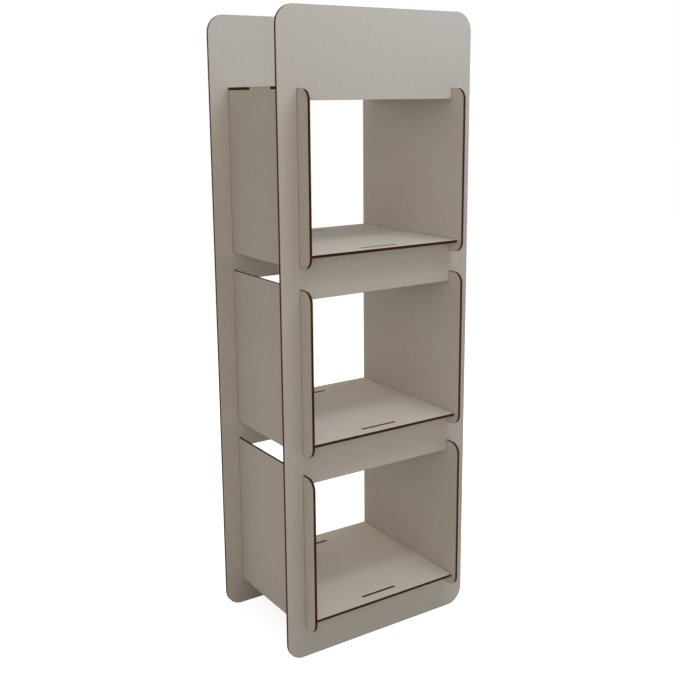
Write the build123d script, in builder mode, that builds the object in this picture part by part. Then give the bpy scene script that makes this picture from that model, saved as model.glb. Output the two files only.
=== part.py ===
from build123d import *
import os

# A floor display stand of fluted board. Twelve flat sheets press together without glue:
# two tall frames, six side panels, three shelves and one top panel.
# Sizes are in millimetres, +Z is up and the open front faces -Y. The origin is on the floor,
# under the middle of the stand.

# The board
board = 6.0             # thickness of every sheet
play = 0.3              # clearance between a cut edge and the sheet that passes it

# The compartments, one above the other
compartments = 3
clear_width = 396.0     # between the two side panels
panel_foot = 64.0       # floor to the bottom edge of the lowest side panels
panel_gap = 42.0        # from one side panel up to the next

# The side panels
panel_height = 370.0
panel_reach = 41.0      # how far a side panel stands out past each frame
panel_corner = 24.0
shoulder = 6.0          # how far its ends, outside the frames, stop short of the bottom edge

# The shelves
shelf_rise = 27.0       # bottom edge of a side panel to the underside of its shelf
shelf_front = 27.0      # how far a shelf stands out past the front frame
shelf_back = 39.0       # how far it stands out past the back frame

# The two frames
frames_apart = 294.0    # clear space between them
border = 46.0           # board left beside the side panels
header = 164.0          # from the top of the highest side panels to the top of the frame
lintel = 23.0           # how far an opening ends below the top of its side panels
frame_corner = 40.0

# The tabs that stand up into a slot or a notch
tab_width = 92.0

# Sizes that follow
pitch = panel_height + panel_gap
panel_feet = [panel_foot + pitch * level for level in range(compartments)]
panels_top = panel_feet[-1] + panel_height
frame_height = panels_top + header
outer_width = clear_width + 2 * board
frame_width = outer_width + 2 * border
frames_depth = frames_apart + 2 * board
panel_depth = frames_depth + 2 * panel_reach
panel_x = (clear_width + board) / 2
opening_height = panel_height - shelf_rise - lintel
slot_width = board + 2 * play
end_height = panel_height - shoulder
slot_height = end_height + play
tab_hole = tab_width + 2 * play
frame_y = (frames_apart + board) / 2
shelf_depth = frames_depth + shelf_front + shelf_back
shelf_y = (shelf_back - shelf_front) / 2

os.makedirs("parts", exist_ok=True)

# Outline of a frame: three openings, each with a slot at both ends that is taller than the
# opening and takes a side panel, and a tab in the middle of each sill that holds a shelf.
with BuildSketch() as frame_outline:
    with Locations((0, frame_height / 2)):
        RectangleRounded(frame_width, frame_height, frame_corner)
    for foot in panel_feet:
        with Locations((0, foot + shelf_rise)):
            Rectangle(2 * panel_x, opening_height, align=(Align.CENTER, Align.MIN), mode=Mode.SUBTRACT)
        with Locations((-panel_x, foot + shoulder), (panel_x, foot + shoulder)):
            Rectangle(slot_width, slot_height, align=(Align.CENTER, Align.MIN), mode=Mode.SUBTRACT)
        with Locations((0, foot + shelf_rise)):
            Rectangle(tab_width, board, align=(Align.CENTER, Align.MIN))

# The front and the back frame
frame_places = {"front_frame": frame_y - board / 2, "back_frame": -frame_y - board / 2}
for name, offset in frame_places.items():
    with BuildPart() as frame:
        with BuildSketch(Plane.XZ.offset(offset)):
            add(frame_outline.sketch)
        extrude(amount=board)
    frame.part.label = name
    export_step(frame.part, f"parts/{name}.step")

# The side panels: sheets that run through the slots of both frames, with rounded ends. Between
# the frames a panel reaches lower than its ends, so that its shoulders keep the frames apart.
# The highest pair has a tab on its top edge, one board high, for an end of the top panel.
levels = ["bottom", "middle", "top"]
sides = {"left": -panel_x, "right": panel_x}
for level, foot in zip(levels, panel_feet):
    panel_top = foot + panel_height
    for side, x in sides.items():
        with BuildPart() as side_panel:
            with BuildSketch(Plane.YZ.offset(x - board / 2)):
                with Locations((0, panel_top - end_height / 2)):
                    RectangleRounded(panel_depth, end_height, panel_corner)
                with Locations((0, foot)):
                    Rectangle(frames_apart - 2 * play, panel_height, align=(Align.CENTER, Align.MIN))
                if foot == panel_feet[-1]:
                    with Locations((0, panel_top)):
                        Rectangle(tab_width, board, align=(Align.CENTER, Align.MIN))
            extrude(amount=board)
        name = f"{side}_side_panel_{level}"
        side_panel.part.label = name
        export_step(side_panel.part, f"parts/{name}.step")

# The shelves: each lies on the sills of both frames, between its side panels, and the
# tabs of the sills stand in its two slots, level with its top.
for level, foot in zip(levels, panel_feet):
    with BuildPart() as shelf:
        with BuildSketch(Plane.XY.offset(foot + shelf_rise)):
            with Locations((0, shelf_y)):
                Rectangle(clear_width - 2 * play, shelf_depth)
            with Locations((0, -frame_y), (0, frame_y)):
                Rectangle(tab_hole, slot_width, mode=Mode.SUBTRACT)
        extrude(amount=board)
    shelf.part.label = f"shelf_{level}"
    export_step(shelf.part, f"parts/shelf_{level}.step")

# The top panel: it lies on the highest side panels, between the frames, and a notch in
# each end takes the tab of the side panel.
with BuildPart() as top_panel:
    with BuildSketch(Plane.XY.offset(panels_top)):
        Rectangle(outer_width, frames_apart - 2 * play)
        with Locations((-panel_x, 0), (panel_x, 0)):
            Rectangle(slot_width, tab_hole, mode=Mode.SUBTRACT)
    extrude(amount=board)
top_panel.part.label = "top_panel"
export_step(top_panel.part, "parts/top_panel.step")
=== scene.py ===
import math

import bmesh
import bpy
from mathutils import Matrix, Vector

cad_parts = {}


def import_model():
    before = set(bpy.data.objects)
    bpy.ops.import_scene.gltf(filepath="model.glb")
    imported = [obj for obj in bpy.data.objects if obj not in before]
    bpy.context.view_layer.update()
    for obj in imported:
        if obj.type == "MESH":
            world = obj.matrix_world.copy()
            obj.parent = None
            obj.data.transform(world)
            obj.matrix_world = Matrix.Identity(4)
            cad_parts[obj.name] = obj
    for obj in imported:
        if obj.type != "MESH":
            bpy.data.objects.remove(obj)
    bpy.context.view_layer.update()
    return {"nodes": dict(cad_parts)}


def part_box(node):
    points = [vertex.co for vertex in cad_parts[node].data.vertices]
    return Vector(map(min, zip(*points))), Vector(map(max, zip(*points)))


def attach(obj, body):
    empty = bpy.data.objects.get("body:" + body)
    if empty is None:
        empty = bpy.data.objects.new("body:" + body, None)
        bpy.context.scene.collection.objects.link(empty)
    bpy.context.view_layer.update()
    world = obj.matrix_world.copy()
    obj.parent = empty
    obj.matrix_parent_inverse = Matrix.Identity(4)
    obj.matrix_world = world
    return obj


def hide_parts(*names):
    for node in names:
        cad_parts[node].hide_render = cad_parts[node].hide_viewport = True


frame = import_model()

# A floor display stand of double-wall fluted board with white faces. Each sheet is made as the
# board is: three flat papers with two fluted papers between them, open along every cut edge.
# Lengths are in metres.


def opaque(red, green, blue):
    return (red, green, blue, 1.0)


def grey(level):
    return opaque(level, level, level)


MILLIMETRE = 0.001
AXES = {"X": Vector((1, 0, 0)), "Y": Vector((0, 1, 0)), "Z": Vector((0, 0, 1))}

# How the board is built up
FACE_PAPER = 0.4 * MILLIMETRE
MIDDLE_PAPER = 0.3 * MILLIMETRE
FLUTED_PAPER = 0.28 * MILLIMETRE
COARSE_PITCH = 7.9 * MILLIMETRE
FINE_PITCH = 6.4 * MILLIMETRE
COARSE_SHARE = 0.58         # of the room between the flat papers, taken by the coarse flutes
FLUTE_STEPS = 8             # flats that one flute is folded from
SPARE_FLUTES = 2            # laid out beyond the outline, and cut off with the rest
SCORCH = 0.8 * MILLIMETRE   # how far the heat of the cut has browned the face beside it
MERGE = 0.001 * MILLIMETRE  # corners of a sheet that lie closer than this are one corner
CREASE = math.radians(32)   # faces that meet at a smaller angle are shaded as one surface
LEAST_FACING = 0.5          # cosine to the thickness, below which a face is part of a cut edge

# Places of the materials in the list of a paper
FACE_PLACE, EDGE_PLACE, INSIDE_PLACE = range(3)

# Colours of the papers. The two fibre colours multiply the tone of the white face.
PALE_TONE = opaque(0.575, 0.542, 0.486)
DEEP_TONE = opaque(0.545, 0.508, 0.446)
PALE_FIBRE = opaque(1.08, 1.085, 1.09)
DEEP_FIBRE = opaque(0.92, 0.915, 0.905)
FLECK = opaque(0.330, 0.270, 0.200)
SCORCHED_FACE = opaque(0.130, 0.068, 0.034)
BURNT_EDGE = opaque(0.050, 0.013, 0.003)
BROWN_EDGE = opaque(0.230, 0.066, 0.013)
DARK_KRAFT = opaque(0.075, 0.022, 0.006)
KRAFT = opaque(0.250, 0.086, 0.024)

# Patterns in the papers: cells to the metre, detail, roughness
CLOUD = (5.0, 3.0, 0.5)         # slow drift of the white face
MOTTLE = (85.0, 4.0, 0.6)
GRAIN = (700.0, 3.0, 0.6)
FLECKS = (1500.0, 1.0, 0.5)
CHAR = (260.0, 3.0, 0.65)
STRETCH = (24.0, 2.0, 0.5)      # browner stretches along a burnt edge
FIBRE = (420.0, 4.0, 0.65)
DRIFT = (18.0, 2.0, 0.5)        # slow drift of the kraft paper

# How far each pattern takes the colour from the first of a pair to the second, and what is taken
# off their sum to centre it
MOTTLE_IN_FACE = 0.9
GRAIN_IN_FACE = 0.7
RIBS_IN_FACE = 0.03
OFF_FACE = 0.3
CHAR_IN_EDGE = 0.6
STRETCH_IN_EDGE = 0.9
OFF_EDGE = 0.35
FIBRE_IN_KRAFT = 0.6
DRIFT_IN_KRAFT = 0.6
OFF_KRAFT = 0.1

# How the white face is marked
FLECK_LEVEL = 0.74          # the noise above which a fleck shows
FLECK_STEEPNESS = 9.0
LEAST_SCORCH = 0.55         # share of the scorched colour where the mottle is nought
MOTTLED_SCORCH = 0.9        # and what the mottle adds to it

# Relief of the papers
RIB_RELIEF = 0.025          # of a millimetre, as are the next two
MOTTLE_RELIEF = 0.030
GRAIN_RELIEF = 0.045
CHAR_RELIEF = 0.2 * MILLIMETRE
FIBRE_RELIEF = 0.05 * MILLIMETRE

# Gloss
FACE_ROUGHNESS = 0.48
GRAIN_ROUGHNESS = 0.20      # what the grain adds to it
EDGE_ROUGHNESS = 0.85
KRAFT_ROUGHNESS = 0.8
BROWN_SPECULAR = 0.12       # of burnt and unbleached paper, which hardly shine

# The floor
FLOOR_SIZE = 40.0
FLOOR_GREY = 0.8            # as it throws light back at the object
SEEN_FLOOR_GREY = 0.6       # as the camera sees it, under the glow that makes it white
SEEN_FLOOR_GLOW = 0.84

# Even light from all round, and what the camera itself sees instead
WORLD_STRENGTH = 0.336
WORLD_COLOUR = opaque(1.0, 0.90, 0.856)
WHITE = grey(1.0)

# Soft boxes: name, place, aim, width and depth, watts, colour
MIDDLE = (0.0, 0.0, 0.75)
LAMPS = [
    ("ceiling_front", (0.2, -1.19, 3.2), (0.2, -1.19, 0.0), (1.6, 0.4), 13.8, (1.0, 0.984, 0.913)),
    ("front_right", (0.459, -0.655, 2.136), MIDDLE, (0.9, 0.9), 8.3, (0.641, 0.785, 1.0)),
    ("right", (2.406, 0.424, 1.639), MIDDLE, (1.4, 1.4), 15.0, (1.0, 0.96, 0.88)),
    ("front_left", (-1.570, -1.872, 1.639), MIDDLE, (1.4, 1.4), 10.5, (1.0, 0.955, 0.855)),
    ("behind", (0.0, 2.443, 1.639), MIDDLE, (1.4, 1.4), 27.3, (1.0, 0.925, 0.823)),
]

# The camera
CAMERA_PLACE = Vector((-1.2412, -1.8845, 1.2402))
CAMERA_YAW = 33.29          # degrees to the right of straight at the front
CAMERA_PITCH = -11.99       # degrees, below level
CAMERA_ROLL = -0.48         # degrees
CAMERA_SENSOR = 36.0        # millimetres, as is the lens
CAMERA_LENS = 52.0
CAMERA_SHIFT = -0.05        # of the width of the picture
CAMERA_REACH = 100.0


# Shaders

class Signal:
    """A number that varies over a surface. Arithmetic on it adds nodes."""

    def __init__(self, finish, socket):
        self.finish = finish
        self.socket = socket

    def _math(self, operation, *values):
        return self.finish.add("ShaderNodeMath", {"operation": operation}, dict(enumerate(values)))

    def __add__(self, other):
        return self._math("ADD", self, other)

    def __sub__(self, other):
        return self._math("SUBTRACT", self, other)

    def __mul__(self, other):
        return self._math("MULTIPLY", self, other)

    __radd__ = __add__
    __rmul__ = __mul__

    def sine(self):
        return self._math("SINE", self)


class Finish:
    """A material or world, built node by node."""

    def __init__(self, owner):
        self.owner = owner
        owner.use_nodes = True
        self.tree = owner.node_tree
        self.tree.nodes.clear()

    def add(self, kind, settings=None, inputs=None, output=0):
        """A node of this kind, with its settings and the values or links of its sockets."""
        node = self.tree.nodes.new(kind)
        for name, value in (settings or {}).items():
            setattr(node, name, value)
        for name, value in (inputs or {}).items():
            if isinstance(value, Signal):
                self.tree.links.new(value.socket, node.inputs[name])
            else:
                node.inputs[name].default_value = value
        return Signal(self, node.outputs[output]) if len(node.outputs) else None

    def place(self):
        return self.add("ShaderNodeTexCoord", output="Object")

    def noise(self, place, scale, detail, roughness):
        settings = {"noise_dimensions": "3D"}
        inputs = {"Vector": place, "Scale": scale, "Detail": detail, "Roughness": roughness}
        return self.add("ShaderNodeTexNoise", settings, inputs)

    def blend(self, share, first, second):
        """Two colours mixed by a share from 0 to 1."""
        settings = {"data_type": "RGBA", "clamp_factor": True}
        return self.add("ShaderNodeMix", settings, {0: share, 6: first, 7: second}, output=2)

    def product(self, first, second):
        """Two colours multiplied."""
        settings = {"data_type": "RGBA", "blend_type": "MULTIPLY"}
        return self.add("ShaderNodeMix", settings, {0: 1.0, 6: first, 7: second}, output=2)

    def bump(self, height, distance):
        """The surface with this relief, in which a height of 1 is this distance."""
        inputs = {"Height": height, "Distance": distance, "Strength": 1.0}
        return self.add("ShaderNodeBump", None, inputs)

    def surface(self, **inputs):
        """The surface of the material, with these values or links for its looks."""
        named = {name.replace("_", " "): value for name, value in inputs.items()}
        shader = self.add("ShaderNodeBsdfPrincipled", None, named)
        self.add("ShaderNodeOutputMaterial", None, {"Surface": shader})

    def seen_apart(self, output, light, seen):
        """One shader for the light that reaches the object and another for the camera itself."""
        by_camera = self.add("ShaderNodeLightPath", output="Is Camera Ray")
        both = self.add("ShaderNodeMixShader", None, {0: by_camera, 1: light, 2: seen})
        self.add(output, None, {"Surface": both})


def white_face(name, across):
    """White coated paper: drifting and mottled tone, a fibre grain and the flutes showing through.

    The flutes follow each other along the axis whose number is across.
    """
    finish = Finish(bpy.data.materials.new(name))
    place = finish.place()
    cloud = finish.noise(place, *CLOUD)
    mottle = finish.noise(place, *MOTTLE)
    grain = finish.noise(place, *GRAIN)
    fleck = finish.noise(place, *FLECKS)
    along = finish.add("ShaderNodeSeparateXYZ", None, {"Vector": place}, output=across)
    ribs = (along * (2 * math.pi / COARSE_PITCH)).sine()
    tone = finish.blend(cloud, DEEP_TONE, PALE_TONE)
    share = mottle * MOTTLE_IN_FACE + grain * GRAIN_IN_FACE - OFF_FACE + ribs * RIBS_IN_FACE
    face = finish.product(tone, finish.blend(share, DEEP_FIBRE, PALE_FIBRE))
    specked = finish.blend((fleck - FLECK_LEVEL) * FLECK_STEEPNESS, face, FLECK)
    scorch = finish.add("ShaderNodeAttribute", {"attribute_name": "scorch"}, output="Fac")
    browned = scorch * (LEAST_SCORCH + MOTTLED_SCORCH * mottle)
    height = ribs * RIB_RELIEF + mottle * MOTTLE_RELIEF + grain * GRAIN_RELIEF
    finish.surface(
        Base_Color=finish.blend(browned, specked, SCORCHED_FACE),
        Roughness=FACE_ROUGHNESS + GRAIN_ROUGHNESS * grain,
        Normal=finish.bump(height, MILLIMETRE),
    )
    return finish.owner


def burnt_edge():
    """The cut through a paper: charred nearly black, with browner stretches."""
    finish = Finish(bpy.data.materials.new("burnt_edge"))
    place = finish.place()
    char = finish.noise(place, *CHAR)
    stretch = finish.noise(place, *STRETCH)
    share = char * CHAR_IN_EDGE + stretch * STRETCH_IN_EDGE - OFF_EDGE
    finish.surface(
        Base_Color=finish.blend(share, BURNT_EDGE, BROWN_EDGE),
        Roughness=EDGE_ROUGHNESS,
        Specular_IOR_Level=BROWN_SPECULAR,
        Normal=finish.bump(char, CHAR_RELIEF),
    )
    return finish.owner


def kraft():
    """The unbleached paper inside the board."""
    finish = Finish(bpy.data.materials.new("brown_kraft"))
    place = finish.place()
    fibre = finish.noise(place, *FIBRE)
    drift = finish.noise(place, *DRIFT)
    share = fibre * FIBRE_IN_KRAFT + drift * DRIFT_IN_KRAFT - OFF_KRAFT
    finish.surface(
        Base_Color=finish.blend(share, DARK_KRAFT, KRAFT),
        Roughness=KRAFT_ROUGHNESS,
        Specular_IOR_Level=BROWN_SPECULAR,
        Normal=finish.bump(fibre, FIBRE_RELIEF),
    )
    return finish.owner


# Working on a piece

def alone(piece):
    """Makes a piece the only one selected, and the active one."""
    bpy.ops.object.select_all(action="DESELECT")
    piece.select_set(True)
    bpy.context.view_layer.objects.active = piece


def finish_modifier(piece, kind, **settings):
    """Adds a modifier with these settings and applies it."""
    alone(piece)
    modifier = piece.modifiers.new(kind.lower(), kind)
    for name, value in settings.items():
        setattr(modifier, name, value)
    bpy.ops.object.modifier_apply(modifier=modifier.name)


def select_in_edit(piece, part, wanted):
    """Selects the "verts" or "faces" for which wanted is true. The piece is in edit mode."""
    bpy.ops.mesh.select_mode(type={"verts": "VERT", "faces": "FACE"}[part])
    bpy.ops.mesh.select_all(action="DESELECT")
    mesh = bmesh.from_edit_mesh(piece.data)
    for element in getattr(mesh, part):
        element.select = wanted(element)
    mesh.select_flush_mode()
    bmesh.update_edit_mesh(piece.data)


def copy_of_sheet(node):
    """The plain sheet as a mesh of its own, with its loose triangles merged."""
    piece = bpy.data.objects.new("layer", frame["nodes"][node].data.copy())
    bpy.context.scene.collection.objects.link(piece)
    piece.data.materials.clear()
    alone(piece)
    bpy.ops.object.mode_set(mode="EDIT")
    bpy.ops.mesh.select_all(action="SELECT")
    bpy.ops.mesh.remove_doubles(threshold=MERGE)
    bpy.ops.object.mode_set(mode="OBJECT")
    return piece


# Making a sheet of board

class Board:
    """One sheet of board, made inside the outline of the plain sheet of its node."""

    def __init__(self, node, thick, flutes, face):
        self.node = node
        self.thick = AXES[thick]
        self.flutes = AXES[flutes]
        self.across = self.flutes.cross(self.thick)
        self.face = face
        low, high = (Vector(corner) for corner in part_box(node))
        self.middle = (low + high) / 2
        self.size = high - low
        self.bottom = low.dot(self.thick)
        self.top = high.dot(self.thick)

    def flat_paper(self, low, high):
        """The flat paper between two heights through the thickness."""
        piece = copy_of_sheet(self.node)
        bpy.ops.object.mode_set(mode="EDIT")
        for height, cleared in ((low, "clear_inner"), (high, "clear_outer")):
            if self.bottom < height < self.top:
                bpy.ops.mesh.select_all(action="SELECT")
                bpy.ops.mesh.bisect(
                    plane_co=self.thick * height,
                    plane_no=self.thick,
                    use_fill=True,
                    **{cleared: True},
                )
        bpy.ops.object.mode_set(mode="OBJECT")
        for material in (self.face, EDGE, INSIDE):
            piece.data.materials.append(material)
        for face in piece.data.polygons:
            height = face.center.dot(self.thick)
            if abs(face.normal.dot(self.thick)) < LEAST_FACING:
                face.material_index = EDGE_PLACE
            elif min(abs(height - self.bottom), abs(height - self.top)) > FACE_PAPER / 2:
                face.material_index = INSIDE_PLACE
        return piece

    def scorch(self, piece):
        """Gives the white face of a paper a narrow rim that the cut has browned."""
        alone(piece)
        bpy.ops.object.mode_set(mode="EDIT")
        select_in_edit(piece, "faces", lambda face: face.material_index == FACE_PLACE)
        bpy.ops.mesh.inset(thickness=SCORCH, use_boundary=True, use_even_offset=True)
        bpy.ops.object.mode_set(mode="OBJECT")
        mesh = piece.data
        inner = {corner for face in mesh.polygons if face.select for corner in face.vertices}
        rim = mesh.attributes.new("scorch", "FLOAT", "POINT")
        for corner, value in enumerate(rim.data):
            value.value = 0.0 if corner in inner else 1.0

    def fluted_paper(self, low, high, pitch):
        """The fluted paper that fills the room between two heights, cut to the outline."""
        span = abs(self.size.dot(self.across))
        length = self.size.dot(self.flutes)
        count = math.ceil(span / pitch) + SPARE_FLUTES
        step = pitch / FLUTE_STEPS
        rise = (high - low - FLUTED_PAPER) / 2
        bpy.ops.mesh.primitive_grid_add(
            x_subdivisions=count * FLUTE_STEPS, y_subdivisions=1, size=1
        )
        piece = bpy.context.object
        piece.scale = (count * pitch, length + SPARE_FLUTES * pitch, 1)
        bpy.ops.object.transform_apply(location=False, rotation=False, scale=True)
        bpy.ops.object.mode_set(mode="EDIT")
        for phase in range(FLUTE_STEPS):
            select_in_edit(
                piece, "verts", lambda corner: round(corner.co.x / step) % FLUTE_STEPS == phase
            )
            lift = rise * math.cos(2 * math.pi * phase / FLUTE_STEPS)
            bpy.ops.transform.translate(value=(0, 0, lift))
        bpy.ops.object.mode_set(mode="OBJECT")
        finish_modifier(piece, "SOLIDIFY", thickness=FLUTED_PAPER, offset=0)
        turn = Matrix((self.across, self.flutes, self.thick)).transposed().to_4x4()
        middle = self.middle + self.thick * ((low + high) / 2 - self.middle.dot(self.thick))
        piece.matrix_world = Matrix.Translation(middle) @ turn
        bpy.ops.object.transform_apply(location=True, rotation=True, scale=True)
        piece.data.materials.append(INSIDE)
        outline = copy_of_sheet(self.node)
        finish_modifier(piece, "BOOLEAN", operation="INTERSECT", object=outline, solver="MANIFOLD")
        bpy.data.objects.remove(outline)
        return piece

    def make(self, name):
        """Puts the five papers together as one piece, in the place of the plain sheet."""
        room = self.top - self.bottom - 2 * FACE_PAPER - MIDDLE_PAPER
        fold = self.bottom + FACE_PAPER + room * (1 - COARSE_SHARE)
        lower = self.flat_paper(self.bottom, self.bottom + FACE_PAPER)
        upper = self.flat_paper(self.top - FACE_PAPER, self.top)
        for paper in (lower, upper):
            self.scorch(paper)
        layers = [
            lower,
            self.fluted_paper(self.bottom + FACE_PAPER, fold, FINE_PITCH),
            self.flat_paper(fold, fold + MIDDLE_PAPER),
            self.fluted_paper(fold + MIDDLE_PAPER, self.top - FACE_PAPER, COARSE_PITCH),
            upper,
        ]
        alone(lower)
        for layer in layers:
            layer.select_set(True)
        bpy.ops.object.join()
        bpy.ops.object.shade_smooth_by_angle(angle=CREASE)
        lower.name = name
        lower.data.name = name
        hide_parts(self.node)
        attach(lower, "root")


UPRIGHT_FACE = white_face("white_face_upright_flutes", 0)
SIDE_FACE = white_face("white_face_level_flutes", 2)
EDGE = burnt_edge()
INSIDE = kraft()

for node in sorted(frame["nodes"]):
    if "frame" in node:
        sheet = Board(node, "Y", "Z", UPRIGHT_FACE)
    elif "side_panel" in node:
        sheet = Board(node, "X", "Y", SIDE_FACE)
    else:
        sheet = Board(node, "Z", "Y", UPRIGHT_FACE)
    sheet.make(f"{node}_board")


# The floor, the background and the light

def floor():
    """A pale floor that the camera sees as white, apart from the object's soft shadow."""
    bpy.ops.mesh.primitive_plane_add(size=FLOOR_SIZE, location=(0, 0, 0))
    piece = bpy.context.object
    piece.name = "floor"
    finish = Finish(bpy.data.materials.new("floor"))
    plain = finish.add("ShaderNodeBsdfDiffuse", None, {"Color": grey(FLOOR_GREY)})
    faint = finish.add("ShaderNodeBsdfDiffuse", None, {"Color": grey(SEEN_FLOOR_GREY)})
    glow = finish.add("ShaderNodeEmission", None, {"Color": WHITE, "Strength": SEEN_FLOOR_GLOW})
    bright = finish.add("ShaderNodeAddShader", None, {0: faint, 1: glow})
    finish.seen_apart("ShaderNodeOutputMaterial", plain, bright)
    piece.data.materials.append(finish.owner)


def world():
    """Even light from all round, and white where the camera itself sees past the floor."""
    finish = Finish(bpy.data.worlds.new("world"))
    looks = {"Color": WORLD_COLOUR, "Strength": WORLD_STRENGTH}
    light = finish.add("ShaderNodeBackground", None, looks)
    white = finish.add("ShaderNodeBackground", None, {"Color": WHITE, "Strength": 1.0})
    finish.seen_apart("ShaderNodeOutputWorld", light, white)
    bpy.context.scene.world = finish.owner


def lamp(name, place, aim, size, power, colour):
    """A soft box of this width and depth, aimed at a point."""
    data = bpy.data.lights.new(name, "AREA")
    data.shape = "RECTANGLE"
    data.size, data.size_y = size
    data.energy = power
    data.color = colour
    box = bpy.data.objects.new(name, data)
    bpy.context.scene.collection.objects.link(box)
    box.location = place
    box.rotation_mode = "QUATERNION"
    box.rotation_quaternion = (Vector(place) - Vector(aim)).to_track_quat("Z", "Y")


def camera():
    data = bpy.data.cameras.new("camera")
    data.sensor_width = CAMERA_SENSOR
    data.lens = CAMERA_LENS
    data.shift_y = CAMERA_SHIFT
    data.clip_end = CAMERA_REACH
    camera_object = bpy.data.objects.new("camera", data)
    bpy.context.scene.collection.objects.link(camera_object)
    camera_object.matrix_world = (
        Matrix.Translation(CAMERA_PLACE)
        @ Matrix.Rotation(math.radians(-CAMERA_YAW), 4, "Z")
        @ Matrix.Rotation(math.radians(90 + CAMERA_PITCH), 4, "X")
        @ Matrix.Rotation(math.radians(CAMERA_ROLL), 4, "Z")
    )
    bpy.context.scene.camera = camera_object


floor()
world()
for row in LAMPS:
    lamp(*row)
camera()
bpy.context.scene.view_settings.view_transform = "Standard"
